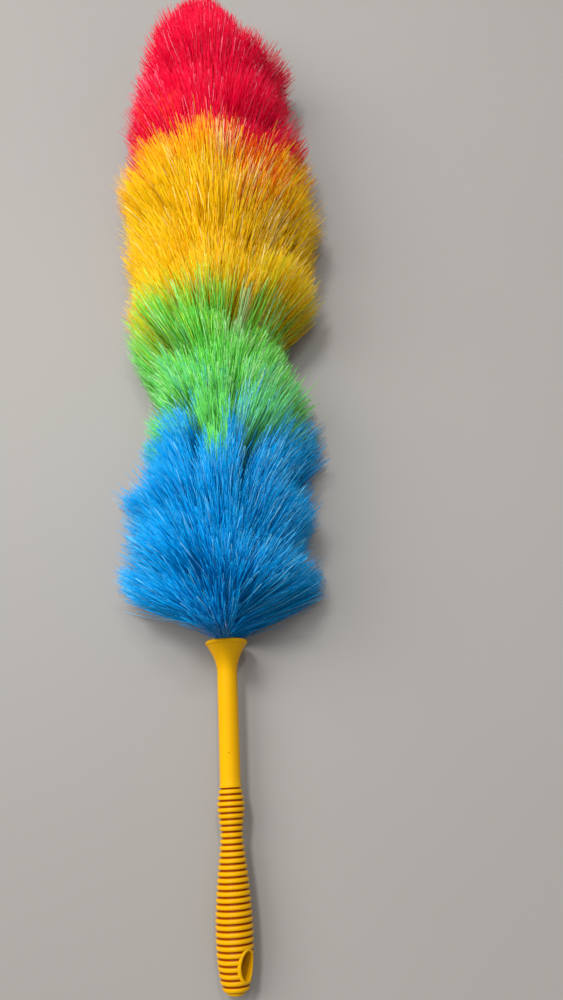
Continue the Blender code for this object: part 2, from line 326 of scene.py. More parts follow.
def combine(obj, other, operation):
    """Joins or cuts obj with a closed mesh, which is then removed."""
    modifier = obj.modifiers.new(other.name, "BOOLEAN")
    modifier.operation = operation
    modifier.solver = "MANIFOLD"
    modifier.object = other
    evaluated = obj.evaluated_get(bpy.context.evaluated_depsgraph_get())
    mesh = bpy.data.meshes.new_from_object(evaluated)
    obj.modifiers.clear()
    obj.data = mesh
    bpy.data.objects.remove(other)


def finish_edges(obj, sharp=35):
    """Shades a mesh smooth but for its sharp edges."""
    obj.data.shade_smooth()
    obj.data.set_sharp_from_angle(angle=math.radians(sharp))


# ---------------------------------------------------------------- handle


def crest_radius(distance):
    """The radius over the ribs' crests, at a distance back from the rim."""
    return float(curve_through(GRIP_OUTLINE, distance))


def quarter(centre_along, centre_radius, size, start, end, steps):
    """Points on an arc, angles in degrees from straight out, positive towards the tip."""
    for step in range(steps + 1):
        turn = math.radians(start + (end - start) * step / steps)
        yield centre_along + size * math.sin(turn), centre_radius + size * math.cos(turn)


def rib_points(start):
    """One groove and the rounded rib behind it."""
    low, high = start + GROOVE_WIDTH / 2, start + RIB_PITCH - GROOVE_WIDTH / 2
    yield -(start - GROOVE_WIDTH * 0.15), crest_radius(start) - GROOVE_DEPTH
    yield -(start + GROOVE_WIDTH * 0.15), crest_radius(start) - GROOVE_DEPTH
    for step in range(RIB_STEPS + 1):
        across = -math.cos(math.pi * step / RIB_STEPS)
        height = (1 - abs(across) ** RIB_FULLNESS) ** (1 / RIB_FULLNESS)
        distance = (low + high) / 2 + across * (high - low) / 2
        yield -distance, crest_radius(distance) - (GROOVE_DEPTH - RIB_FOOT) * (1 - height)


def handle_profile():
    """The handle's section, from the socket's bottom over the rim and along the outside to the end."""
    profile = [(-SOCKET_DEPTH, 0), (-SOCKET_DEPTH, SOCKET_RADIUS), (-SEAT_DEPTH, SOCKET_RADIUS)]
    profile += [(-SEAT_DEPTH, SEAT_RADIUS), (-0.35, MOUTH_RADIUS - 0.1), (0, MOUTH_RADIUS + 0.2)]
    rounding, foot = LIP_ROUNDING, LIP_RADIUS - LIP_ROUNDING
    profile += list(quarter(-rounding, foot, rounding, 90, 0, LIP_STEPS))
    profile += list(quarter(rounding - LIP_WIDTH, foot, rounding, 0, -70, LIP_STEPS))
    lip_foot = profile[-1][1]
    for step in range(1, FLARE_STEPS + 1):
        share = step / FLARE_STEPS
        radius = TUBE_RADIUS + (lip_foot - TUBE_RADIUS) * (1 - share) ** FLARE_POWER
        profile.append((-(LIP_WIDTH + (FLARE_END - LIP_WIDTH) * share), radius))
    profile += [(-distance, TUBE_RADIUS) for distance in np.linspace(22, STEP_RING_AT - 0.2, 14)]
    ring = TUBE_RADIUS + STEP_RING_HEIGHT
    profile += [(-STEP_RING_AT, TUBE_RADIUS + 0.05), (-STEP_RING_AT - 0.25, ring)]
    profile.append((0.45 - GRIP_START, ring))
    for index in range(RIBS):
        profile += list(rib_points(GRIP_START + index * RIB_PITCH))
    last = GRIP_START + RIBS * RIB_PITCH
    profile.append((-last, BUTTON_RADIUS))
    depth = HANDLE_LENGTH - last - BUTTON_EDGE
    for step in range(BUTTON_STEPS + 1):
        turn = math.pi / 2 * step / BUTTON_STEPS
        distance = last + BUTTON_EDGE + depth * math.sin(turn)
        profile.append((-distance, BUTTON_RADIUS * math.cos(turn)))
    profile[-1] = (-HANDLE_LENGTH, 0)
    return [(float(along), float(radius)) for along, radius in profile]


def hole_place():
    """Where the hanging hole is, and which way it goes."""
    return Matrix.Translation((0, -HOLE_AT, 0)) @ Matrix.Rotation(HOLE_TURN, 4, "Y")


def surface_height(across, along, side):
    """How far the grip's outline is from the core, measured along the hole, with the rim's raise."""
    radius = np.array([crest_radius(HOLE_AT - value) for value in np.atleast_1d(along)])
    return side * (np.sqrt(np.maximum(radius**2 - across**2, 1)) + HOLE_RAISE)


def oval_loft(name, levels):
    """A closed solid of oval sections: each level gives how much wider the oval is, and its heights."""
    turns = np.linspace(0, 2 * math.pi, HOLE_SIDES, endpoint=False)
    vertices = []
    for wider, height in levels:
        across = (HOLE_HALF[0] + wider) * np.cos(turns)
        along = (HOLE_HALF[1] + wider) * np.sin(turns)
        up = height(across, along) if callable(height) else np.full(HOLE_SIDES, float(height))
        vertices += list(zip(across, along, up))
    faces = grid_faces(len(levels), HOLE_SIDES)
    last = (len(levels) - 1) * HOLE_SIDES
    faces.append(tuple(range(HOLE_SIDES))[::-1])
    faces.append(tuple(range(last, last + HOLE_SIDES)))
    place = np.array(hole_place())
    moved = np.array(vertices) @ place[:3, :3].T + place[:3, 3]
    obj = add_mesh(name, moved, faces)
    face_out(obj)
    return obj


def rounded_edge(side, foot, outwards):
    """Levels of the edge where the hole meets the grip, curving outwards (1) or inwards (-1)."""
    edge = []
    for step in range(HOLE_EDGE_STEPS + 1):
        turn = math.pi / 2 * step / HOLE_EDGE_STEPS
        lower = HOLE_EDGE * (1 - math.sin(turn))
        height = functools.partial(lowered_height, side=side, lower=lower)
        edge.append((foot + outwards * HOLE_EDGE * (1 - math.cos(turn)), height))
    return edge


def lowered_height(across, along, side, lower):
    """The same height, brought nearer to the core."""
    return surface_height(across, along, side) - side * lower


def hole_column():
    """The smooth raised wall round the hole, with its outer edges rounded."""
    levels = []
    for side in (-1, 1):
        edge = rounded_edge(side, HOLE_WALL, -1)
        edge.append((-3.0, functools.partial(surface_height, side=side)))
        levels += edge[::-1] if side < 0 else edge
    return oval_loft("hole_column", levels)


def hole_cutter():
    """The hole itself, opening out at both ends in a rounded edge."""
    levels = [(HOLE_EDGE, -3 * LIP_RADIUS)]
    for side in (-1, 1):
        edge = rounded_edge(side, 0, 1)
        levels += edge[::-1] if side < 0 else edge
    levels.append((HOLE_EDGE, 3 * LIP_RADIUS))
    return oval_loft("hole_cutter", levels)


def mark_depth(obj):
    """Stores how deep each point lies below the ribs' crests, from 0 to 1, and marks the mouth, for the
    painted shade in the grooves and inside the mouth.
    """
    points = np.empty(len(obj.data.vertices) * 3)
    obj.data.vertices.foreach_get("co", points)
    points = points.reshape(-1, 3) / MM
    back = np.array(CORE.inverted())
    local = points @ back[:3, :3].T + back[:3, 3] / MM
    distance, radius = -local[:, 1], np.hypot(local[:, 0], local[:, 2])
    depth = (curve_through(GRIP_OUTLINE, distance) - radius) / GROOVE_DEPTH
    grip_end = GRIP_START + RIBS * RIB_PITCH
    depth = np.where((distance > GRIP_START - 0.5) & (distance < grip_end), np.clip(depth, 0, 1), 0)
    in_mouth = (distance > 0.2) & (distance < SEAT_DEPTH + 0.1)
    in_mouth &= radius < MOUTH_RADIUS - MOUTH_SLOPE * distance + 0.3
    # Painted shade: the mouth's inside is marked to be painted darker
    depth = np.where(in_mouth, MOUTH_PAINTED_SHADE, depth)
    attribute = obj.data.attributes.new("depth", "FLOAT", "POINT")
    attribute.data.foreach_set("value", depth.astype(np.float32))


def make_handle():
    """The moulded handle, with its ribs and the hanging hole."""
    handle = turned("moulded_handle", handle_profile(), HANDLE_SEGMENTS)
    combine(handle, hole_column(), "UNION")
    combine(handle, hole_cutter(), "DIFFERENCE")
    finish_edges(handle, 40)
    mark_depth(handle)
    handle.data.materials.clear()
    handle.data.materials.append(plastic_material())
    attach(handle, "handle")
    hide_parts("handle_shell")


def make_plug():
    """The collar in the mouth, with a small lug that stands out of it."""
    front, back = PLUG_SETBACK, SEAT_DEPTH - 0.3
    outer_front = MOUTH_RADIUS - MOUTH_SLOPE * front - PLUG_FIT
    outer_back = MOUTH_RADIUS - MOUTH_SLOPE * back - PLUG_FIT
    profile = [
        (-front - PLUG_CHAMFER, CORE_HOLE), (-front, CORE_HOLE + PLUG_CHAMFER),
        (-front, outer_front - PLUG_CHAMFER), (-front - PLUG_CHAMFER, outer_front - 0.15),
        (-back, outer_back), (-back, CORE_HOLE),
    ]
    plug = turned("mouth_collar", profile, PLUG_SEGMENTS)
    start, end = LUG_SPAN
    lug_profile = [
        (start, 0), (start, LUG_HALF_WIDTH), (end, LUG_HALF_WIDTH),
        (LUG_END - 0.15, LUG_HALF_WIDTH - 0.1), (LUG_END, LUG_HALF_WIDTH - 0.35), (LUG_END, 0),
    ]
    lug = turned("lug", lug_profile, LUG_SEGMENTS)
    across, up = LUG_RADIUS * math.sin(LUG_TURN), LUG_RADIUS * math.cos(LUG_TURN)
    lug.data.transform(CORE @ Matrix.Translation((across * MM, 0, up * MM)) @ CORE.inverted())
    combine(plug, lug, "UNION")
    finish_edges(plug)
    plug.data.materials.clear()
    plug.data.materials.append(plastic_material())
    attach(plug, "handle")
    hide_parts("core_plug")


# ---------------------------------------------------------------- core


def make_wire(letter, phase):
    """One of the two twisted wires, in one piece from the socket to the tip cap."""
    steps = round((WIRE_END - WIRE_START) / TWIST_PITCH * WIRE_STEPS_IN_TURN)
    along = np.linspace(WIRE_START, WIRE_END, steps + 1)
    turn = 2 * math.pi * along / TWIST_PITCH + phase
    centre = np.stack([WIRE_OFFSET * np.cos(turn), along, WIRE_OFFSET * np.sin(turn)], 1)
    tangent = np.gradient(centre, axis=0)
    tangent /= np.linalg.norm(tangent, axis=1, keepdims=True)
    out = np.stack([np.cos(turn), np.zeros_like(turn), np.sin(turn)], 1)
    side = np.cross(tangent, out)
    angles = np.linspace(0, 2 * math.pi, WIRE_SIDES, endpoint=False)[None, :, None]
    ring = np.cos(angles) * out[:, None] + np.sin(angles) * side[:, None]
    vertices = (centre[:, None] + WIRE_RADIUS * ring).reshape(-1, 3)
    faces = grid_faces(steps + 1, WIRE_SIDES)
    last = steps * WIRE_SIDES
    faces += [tuple(range(WIRE_SIDES))[::-1], tuple(range(last, last + WIRE_SIDES))]
    wire = add_mesh(f"twisted_wire_{letter}", vertices, faces, 50)
    face_out(wire)
    wire.data.materials.append(wire_material())
    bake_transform(wire)
    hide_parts(f"core_wire_{letter}", f"wire_tail_{letter}")


def make_cap():
    """The soft rounded cap over the cut ends of the wires."""
    front, bottom = CAP_BACK + CAP_LENGTH, WIRE_END + 0.3
    profile = [
        (bottom, 0), (bottom, CORE_HOLE), (CAP_BACK, CORE_HOLE), (CAP_BACK, CAP_RADIUS - CAP_EDGE),
        (CAP_BACK + CAP_EDGE, CAP_RADIUS),
    ]
    for step in range(CAP_STEPS + 1):
        turn = math.pi / 2 * step / CAP_STEPS
        profile.append((front - CAP_DOME + CAP_DOME * math.sin(turn), CAP_RADIUS * math.cos(turn)))
    profile[-1] = (front, 0)
    cap = turned("wire_end_cap", profile, CAP_SEGMENTS)
    cap.data.materials.append(cap_material())
    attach(cap, "head")
    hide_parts("tip_cap")


# ---------------------------------------------------------------- fibres


def spread_over(place, stretch):
    """From 0 at the start of a stretch to 1 at its end."""
    start, end = stretch
    return np.clip((place - start) / (end - start), 0, 1)


def wrap(angle):
    """The same angle between half a turn back and half a turn on."""
    return (angle + math.pi) % (2 * math.pi) - math.pi


def outline_reach(place, turn):
    """The head's reach from the core, at places along it and angles from straight up to the right."""
    side, up = np.sin(turn), np.cos(turn)
    left = curve_through(LEFT_REACH, place)
    right = curve_through(RIGHT_REACH, place)
    share = (side + 1) / 2
    width = np.maximum(left * (1 - share) + right * share, 0.01)
    width += (np.maximum(left, right) - width) * spread_over(place, ROUND_END) * up**2 / 2
    return np.where(up > 0, width / np.hypot(side, up / TOP_SHARE), width)


def strand_reach(root, turn, forward):
    """The radius at which each strand meets the head's outline."""
    low = np.full_like(root, ROW_BORE)
    high = np.full_like(root, 90.0)
    for _ in range(24):
        middle = (low + high) / 2
        inside = middle < outline_reach(np.minimum(root + middle * forward, TIP), turn)
        low, high = np.where(inside, middle, low), np.where(inside, high, middle)
    return low


def lobe_pattern(rng, turn, pull):
    """Gathers strands into broad locks: gives their new angles, reach and lean, and each lock's tone."""
    centres = (np.arange(LOBES) + rng.uniform(-LOBE_OFFSET, LOBE_OFFSET, LOBES)) * 2 * math.pi / LOBES
    gap = wrap(turn[:, None] - centres[None])
    nearest = np.abs(gap).argmin(1)
    off = gap[np.arange(len(turn)), nearest]
    share = np.clip(np.abs(off) / (math.pi / LOBES), 0, 1)
    lobe_reach = rng.uniform(*LOBE_REACH, LOBES)[nearest]
    lobe_lean = rng.normal(0, LOBE_LEAN, LOBES)[nearest]
    lobe_tone = rng.uniform(0, 1, LOBES)[nearest]
    return turn - pull * off * share, lobe_reach * (1 - pull / 2 * share**2), lobe_lean, lobe_tone


def strand_paths(rng, roots, turns, leans, reach, count):
    """Points down each strand, about the core, in mm: an array of strands by points by 3."""
    t = np.linspace(0, 1, STRAND_POINTS)[None]
    curl = rng.normal(*CURL, (count, 1))
    forward = np.tan(np.radians(leans))[:, None] * reach[:, None]
    foot = ROW_BORE * STRAND_FOOT
    radius = foot + (reach[:, None] - foot) * t
    place = roots[:, None] + forward * ((1 - curl) * t + curl * t * t)
    sway = rng.normal(0, SWAY, (count, 1)) * t * t + rng.normal(0, WAVER, (count, STRAND_POINTS)) * t
    angle = turns[:, None] + sway
    return np.stack([radius * np.sin(angle), place, radius * np.cos(angle)], 2)


def settle(points, rng):
    """Lets the strands droop and come to lie on the floor instead of going through it."""
    world = points * MM @ np.array(CORE)[:3, :3].T + np.array(CORE)[:3, 3]
    t = np.linspace(0, 1, STRAND_POINTS)[None]
    sideways = np.abs(world[..., 0]) / np.maximum(np.linalg.norm(points[..., ::2], axis=2) * MM, 1e-6)
    world[..., 2] -= DROOP * MM * t**2 * sideways
    rest = (FLOOR_CLEARANCE + rng.gamma(2.0, 1.1, (len(points), 1)) * t) * MM
    soft = FLOOR_SOFTNESS * MM
    over = world[..., 2] - rest
    world[..., 2] = rest + np.where(over > 0, over, 0) + soft * 0.35 * np.exp(-np.abs(over) / soft) * t
    return world


def strand_mesh(name, paths, rng, values):
    """Flat, ridged, slightly twisted closed strands along the paths, which store the values."""
    count, points = paths.shape[:2]
    t = np.linspace(0, 1, points)[None]
    attributes = {"along": t} | {key: value[:, None] for key, value in values.items()}
    half_width = rng.uniform(*STRAND_WIDTHS, (count, 1)) * STRAND_HALF_WIDTH
    half_width = half_width * (1 - STRAND_TAPER * t**3) * MM
    roll = (rng.uniform(0, 2 * math.pi, (count, 1)) + rng.normal(0, 1.0, (count, 1)) * t)[..., None]
    tangent = np.gradient(paths, axis=1)
    tangent /= np.maximum(np.linalg.norm(tangent, axis=2, keepdims=True), 1e-9)
    first = np.cross(tangent, np.array([0.13, 0.21, 0.97]))
    first /= np.maximum(np.linalg.norm(first, axis=2, keepdims=True), 1e-9)
    second = np.cross(tangent, first)
    flat = np.cos(roll) * first + np.sin(roll) * second
    out = np.cos(roll) * second - np.sin(roll) * first
    ring = np.stack([-flat, flat, STRAND_RIDGE * out], 2)
    vertices = (paths[:, :, None] + half_width[:, :, None, None] * ring).reshape(-1, 3)
    index = np.arange(count * points * 3).reshape(count, points, 3)
    quads = []
    for corner in range(3):
        after = (corner + 1) % 3
        quad = (index[:, :-1, corner], index[:, :-1, after], index[:, 1:, after], index[:, 1:, corner])
        quads.append(np.stack(quad, -1).reshape(-1, 4))
    quads = np.concatenate(quads)
    caps = np.concatenate([index[:, 0, ::-1], index[:, -1]])
    mesh = bpy.data.meshes.new(name)
    mesh.vertices.add(len(vertices))
    mesh.vertices.foreach_set("co", vertices.astype(np.float32).ravel())
    mesh.loops.add(quads.size + caps.size)
    corners = np.concatenate([quads.ravel(), caps.ravel()]).astype(np.int32)
    mesh.loops.foreach_set("vertex_index", corners)
    starts = np.concatenate([np.arange(len(quads)) * 4, quads.size + np.arange(len(caps)) * 3])
    mesh.polygons.add(len(starts))
    mesh.polygons.foreach_set("loop_start", starts.astype(np.int32))
    mesh.update(calc_edges=True)
    for key, values in attributes.items():
        spread = np.broadcast_to(values[..., None], (count, points, 3)).astype(np.float32)
        mesh.attributes.new(key, "FLOAT", "POINT").data.foreach_set("value", spread.ravel())
    obj = bpy.data.objects.new(name, mesh)
    bpy.context.scene.collection.objects.link(obj)
    return obj


def gather_tufts(rng, paths, tufts, most):
    """Draws the ends of the strands of each small tuft towards each other."""
    t = np.linspace(0, 1, paths.shape[1])[None, :, None]
    order = np.argsort(tufts, kind="stable")
    sizes = np.bincount(tufts)
    sums = np.add.reduceat(paths[order], np.concatenate([[0], np.cumsum(sizes)[:-1]]), axis=0)
    middles = (sums / sizes[:, None, None])[tufts]
    pull = rng.uniform(0, most, sizes.size)[tufts][:, None, None]
    return paths + (middles - paths) * pull * t**1.5


def part_locks(turn, width, amount):
    """Parts the strands that point up, to the left and to the right."""
    wrapped = wrap(turn)
    return turn + np.sign(wrapped) * amount * np.exp(-((wrapped / width) ** 2))


def held_places(rng, turns, low, high):
    """Where the twisted wires hold the fibres that point each way: one place in every half-turn."""
    place = low + ROW_PITCH * np.mod(-turns / math.pi - low / ROW_PITCH, 1)
    after = place + ROW_PITCH
    return np.where((after < high) & (rng.random(len(turns)) < 0.5), after, place)


def make_row(node, colour, number, rows, low, high, seed, count, position):
    """One row's strands: first where they start and point, and how long they are, then their paths."""
    rng = np.random.default_rng(seed)
    tuft_count = count // STRANDS_IN_TUFT
    tufts = np.arange(count) % tuft_count
    tuft_turn = (np.arange(tuft_count) + rng.uniform(0, 1, tuft_count)) * 2 * math.pi / tuft_count
    rng.shuffle(tuft_turn)
    tuft_root = held_places(rng, tuft_turn, low, high) + rng.normal(0, ROOT_SCATTER[0], tuft_count)
    if 1 < number < rows:
        tuft_root = low + np.mod(tuft_root - low + rng.normal(0, INNER_SCATTER, tuft_count), high - low)
    tuft_reach = rng.normal(1, TUFT_LENGTHS, tuft_count)
    turns = tuft_turn[tufts] + rng.normal(0, TUFT_SPREAD, count)
    if colour == "blue":
        turns = part_locks(turns, PARTING_WIDTH, math.radians(PARTING[number - 1]))
    roots = np.clip(tuft_root[tufts] + rng.normal(0, ROOT_SCATTER[1], count), low, high)
    pull = LOBE_PULL[colour] * (0.3 if node in MORE_STRANDS else 1)
    turns, lobe_reach, lobe_lean, lobe_tone = lobe_pattern(rng, turns, pull)
    gap_angle, gap_end = LUG_GAP
    roots = np.where(np.abs(wrap(turns - LUG_TURN)) < gap_angle, np.maximum(roots, gap_end), roots)
    on_top = np.maximum(np.cos(turns), 0) ** 2
    lean_scatter = LEAN_SCATTER + (MORE_LEAN_SCATTER * on_top if node in MORE_STRANDS else 0)
    leans = curve_through(LEAN, roots) + lobe_lean + rng.normal(0, lean_scatter, count)
    leans += curve_through(TOP_LEAN, roots) * on_top
    leans = np.clip(leans, *LEAN_LIMITS)
    reach = strand_reach(roots, turns, np.tan(np.radians(leans)))
    reach = np.minimum(reach, STRAND_LENGTH[colour] * np.cos(np.radians(leans)))
    unevenness = UNEVENNESS[colour] * (1 if number == rows else MORE_UNEVEN)
    length = 1 - np.abs(rng.normal(0, unevenness, count))
    stray = rng.random(count) < STRAY_SHARE
    length = np.where(stray, rng.uniform(1.0, LONGEST, count), length)
    length = np.minimum(length * lobe_reach * tuft_reach[tufts], LONGEST)
    reach = np.maximum(reach * length, SHORTEST)
    paths = strand_paths(rng, roots, turns, leans, reach, count)
    paths = settle(gather_tufts(rng, paths, tufts, TUFT_PULL[colour]), rng)
    tone = (lobe_tone + rng.random(tuft_count)[tufts]) / 2
    values = strand_values(rng, colour, number, turns, tone, position)
    return strand_mesh(node.replace("_row", "s"), paths, rng, values)


def strand_values(rng, colour, number, turns, tone, position):
    """What the strands of a row store: a number of their own, tone, and how much other colour or pale
    colour, which paints glints.
    """
    count = len(turns)
    border = border_share(rng, position, count)
    in_patch = rng.random(count) < patch_share(AHEAD_PATCHES, colour, number, turns)
    border = np.where(in_patch, AHEAD_MIX, border)
    # Pale strands paint glints and sheen, more of them on the right
    low_share, more_share = PAINTED_GLINT_SHARE[colour]
    painted_glint_share = low_share + more_share * np.maximum(np.sin(turns), 0)
    painted_glint_share = np.maximum(painted_glint_share, patch_share(PAINTED_GLINT_PATCHES, colour, number, turns))
    pale = np.where(rng.random(count) < painted_glint_share, rng.uniform(*PAINTED_GLINT_MIX, count), 0)
    if colour == "blue":
        wedge = math.radians(WEDGE[number - 1])
        border = np.where(np.abs(np.sin(turns / 2)) < math.sin(wedge / 2), 1, border)
    return {"strand": rng.random(count), "tone": tone, "border": border, "pale": pale}


def patch_share(patches, colour, number, turns):
    """The share of strands that a row's patch picks out, at each angle."""
    angle, width, share = patches.get((colour, number), (0, 1, 0))
    return share * np.exp(-((wrap(turns - math.radians(angle)) / math.radians(width)) ** 2))


def border_share(rng, position, count):
    """How much colour each strand has from the band behind, below 0, or from the one ahead, above 0."""
    back, front = position
    picked = rng.random(count)
    share = rng.uniform(*BORDER_MIX, count)
    return np.where(picked < back, -share, np.where(picked > 1 - front, share, 0))


def make_tip_tuft(seed):
    """The last strands, which fan out from beside the tip cap and close the head."""
    rng = np.random.default_rng(seed)
    count = round(STRANDS * TIP_STRANDS)
    tuft_count = count // STRANDS_IN_TUFT
    tufts = np.arange(count) % tuft_count
    turn = rng.uniform(0, 2 * math.pi, tuft_count)[tufts] + rng.normal(0, 0.06, count)
    opening = np.degrees(np.arccos(rng.uniform(math.cos(math.radians(TIP_OPENING)), 1, tuft_count)))
    leans = 90 - np.clip(opening[tufts] + rng.normal(0, 3, count), 1.5, TIP_OPENING + 2)
    roots = rng.uniform(*TIP_ROOTS, count)
    reach = strand_reach(roots, turn, np.tan(np.radians(leans)))
    shorter = 1 - np.abs(rng.normal(0, TIP_UNEVENNESS, count))
    reach *= shorter
    ahead = np.minimum(np.tan(np.radians(leans)) * reach, (TIP - roots) * shorter)
    t = np.linspace(0, 1, STRAND_POINTS)[None]
    start = np.minimum(CAP_RADIUS + 0.4, reach)[:, None]
    radius = start + (reach[:, None] - start) * t
    place = roots[:, None] + ahead[:, None] * t
    angle = turn[:, None] + rng.normal(0, 0.05, (count, 1)) * t * t
    paths = np.stack([radius * np.sin(angle), place, radius * np.cos(angle)], 2)
    paths = settle(gather_tufts(rng, paths, tufts, TUFT_PULL["red"]), rng)
    values = {
        "strand": rng.random(count),
        "tone": rng.random(tuft_count)[tufts],
        "border": np.zeros(count),
        # pale strands paint glints
        "pale": (rng.random(count) < PAINTED_GLINT_SHARE["red"][0]) * TIP_PAINTED_GLINT,
    }
    return strand_mesh("red_tip_fibres", paths, rng, values)


def make_head():
    """All the rows from the handle to the tip, and the tuft that closes the head."""
    root = FIRST_ROOT
    seed = 100
    for colour, rows in ROWS:
        for number in range(1, rows + 1):
            node = f"{colour}_fibre_row_{number}"
            low = -1.0 if root == FIRST_ROOT else root
            back = BORDER_BEHIND.get(colour, 0) if number == 1 else 0
            front = BORDER_AHEAD if number == rows and colour != "red" else 0
            count = round(STRANDS * MORE_STRANDS.get(node, 1))
            obj = make_row(node, colour, number, rows, low, root + ROW_PITCH, seed, count, (back, front))
            obj.data.materials.append(fibre_material(colour))
            if root == FIRST_ROOT:
                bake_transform(obj)
            else:
                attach(obj, "head")
            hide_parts(node)
            root += ROW_PITCH
            seed += 1
    tuft = make_tip_tuft(seed)
    tuft.data.materials.append(fibre_material("red"))
    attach(tuft, "head")
    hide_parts("red_tip_tuft")


# ---------------------------------------------------------------- materials


class Nodes:
    """A material's node tree, with short calls to add and join nodes."""

    def __init__(self, name):
        self.material = bpy.data.materials.new(name)
        self.material.use_nodes = True
        self.tree = self.material.node_tree
        self.shader = self.tree.nodes["Principled BSDF"]

    def add(self, kind, inputs=None, **settings):
        node = self.tree.nodes.new(kind)
        for key, value in settings.items():
            setattr(node, key, value)
        for key, value in (inputs or {}).items():
            self.join(value, node.inputs[key])
        return node

    def join(self, value, socket):
        """Joins a socket to another, or gives it a plain value."""
        if isinstance(value, bpy.types.NodeSocket):
            self.tree.links.new(value, socket)
        else:
            socket.default_value = value

    def attribute(self, name):
        return self.add("ShaderNodeAttribute", attribute_name=name).outputs["Fac"]

    def noise(self, scale, detail=3, roughness=0.5, vector=None):
        inputs = {"Scale": scale, "Detail": detail, "Roughness": roughness}
        if vector is not None:
            inputs["Vector"] = vector
        return self.add("ShaderNodeTexNoise", inputs).outputs["Fac"]

    def position(self, stretch=(1, 1, 1)):
        where = self.add("ShaderNodeTexCoord").outputs["Object"]
        mapped = self.add("ShaderNodeMapping", {"Vector": where})
        mapped.inputs["Scale"].default_value = stretch
        return mapped.outputs["Vector"]

    def spread(self, value, low, high, start=0.0, end=1.0):
        """A value from start to end, mapped to low to high."""
        inputs = {"Value": value, "From Min": start, "From Max": end, "To Min": low, "To Max": high}
        return self.add("ShaderNodeMapRange", inputs).outputs["Result"]

    def ramp(self, value, stops):
        node = self.add("ShaderNodeValToRGB", {"Fac": value})
        elements = node.color_ramp.elements
        while len(elements) < len(stops):
            elements.new(0.5)
        for element, (place, colour) in zip(elements, stops):
            element.position = place
            element.color = colour
        return node.outputs["Color"]

    def mix(self, share, first, second, blend="MIX"):
        node = self.add("ShaderNodeMix", data_type="RGBA", blend_type=blend)
        self.join(share, node.inputs["Factor"])
        self.join(first, node.inputs["A"])
        self.join(second, node.inputs["B"])
        return node.outputs["Result"]

    def math(self, operation, first, second):
        node = self.add("ShaderNodeMath", operation=operation)
        self.join(first, node.inputs[0])
        self.join(second, node.inputs[1])
        return node.outputs[0]

    def bump(self, height, strength, distance):
        inputs = {"Height": height, "Strength": strength, "Distance": distance}
        return self.add("ShaderNodeBump", inputs).outputs["Normal"]

    def set(self, **values):
        """Joins or sets the shader's own sockets."""
        names = {
            "colour": "Base Color", "roughness": "Roughness", "metallic": "Metallic", "normal": "Normal",
            "specular": "Specular IOR Level",
        }
        for key, value in values.items():
            self.join(value, self.shader.inputs[names[key]])


# Each colour at the root, along the strand, in pale strands, and mixed from the bands behind and ahead
# The pale strands' colour paints glints and sheen
# Where it differs from the middle colour, the root colour paints light and shade deep in the head
FIBRE_COLOURS = {
    "blue": ((0, 158, 250), (0, 166, 234), (135, 222, 255), (0, 165, 250), (120, 230, 110)),
    "green": ((78, 200, 48), (120, 238, 88), (205, 255, 190), (80, 205, 200), (215, 240, 40)),
    "yellow": ((255, 154, 0), (255, 214, 0), (255, 250, 190), (200, 232, 50), (255, 72, 8)),
    "red": ((215, 0, 36), (250, 0, 60), (255, 165, 195), (255, 96, 0), (250, 0, 60)),
}
DARKEST_TONE = {"blue": 0.92, "green": 0.8, "yellow": 0.8, "red": 0.8}
PALE_AND_HIGHLIGHT_TIPS = {"blue": 0.18, "green": 0.2, "yellow": 0.08, "red": 0.06}  # how pale the fibres' ends are: partly their own paler colour, partly painted highlight


@functools.cache
def fibre_material(colour):
    """Glossy split film, whose colour varies between strands, between tufts and along each strand, with
    painted shade at the roots, painted highlight at the ends and pale strands painted as glints.
    """
    deep, middle, pale, behind, ahead = (linear(*value) for value in FIBRE_COLOURS[colour])
    nodes = Nodes(f"{colour}_split_film")
    along, strand, border = (nodes.attribute(name) for name in ("along", "strand", "border"))
    streaks = nodes.noise(220, vector=nodes.position())
    place = nodes.math("ADD", along, nodes.spread(streaks, -0.12, 0.12))
    share = PALE_AND_HIGHLIGHT_TIPS[colour]
    tip = tuple((1 - share) * one + share * two for one, two in zip(middle, pale))
    # Painted light along the strand: the root colour paints shade deep in the head, and the paler end is
    # partly painted highlight
    base = nodes.ramp(place, [(0.0, deep), (0.5, middle), (0.94, middle), (1.0, tip)])
    base = nodes.mix(nodes.spread(strand, 0, 0.75, 0.35, 1), base, deep)
    base = nodes.mix(nodes.math("MAXIMUM", border, 0.0), base, ahead)
    base = nodes.mix(nodes.math("MAXIMUM", nodes.math("MULTIPLY", border, -1.0), 0.0), base, behind)
    # Pale strands: painted glints and sheen
    base = nodes.mix(nodes.attribute("pale"), base, pale)
    tone = nodes.spread(nodes.attribute("tone"), DARKEST_TONE[colour], 1.07)
    grain = nodes.spread(nodes.math("FRACT", nodes.math("MULTIPLY", strand, 7.3), 0.0), 0.84, 1.1)
    value = nodes.math("MINIMUM", nodes.math("MULTIPLY", tone, grain), 1.0)
    hue = nodes.add("ShaderNodeHueSaturation", {"Value": value, "Color": base})
    nodes.set(
        colour=hue.outputs["Color"],
        roughness=nodes.spread(nodes.noise(900, 2, vector=nodes.position()), 0.12, 0.28),
        specular=0.1,
    )
    return nodes.material


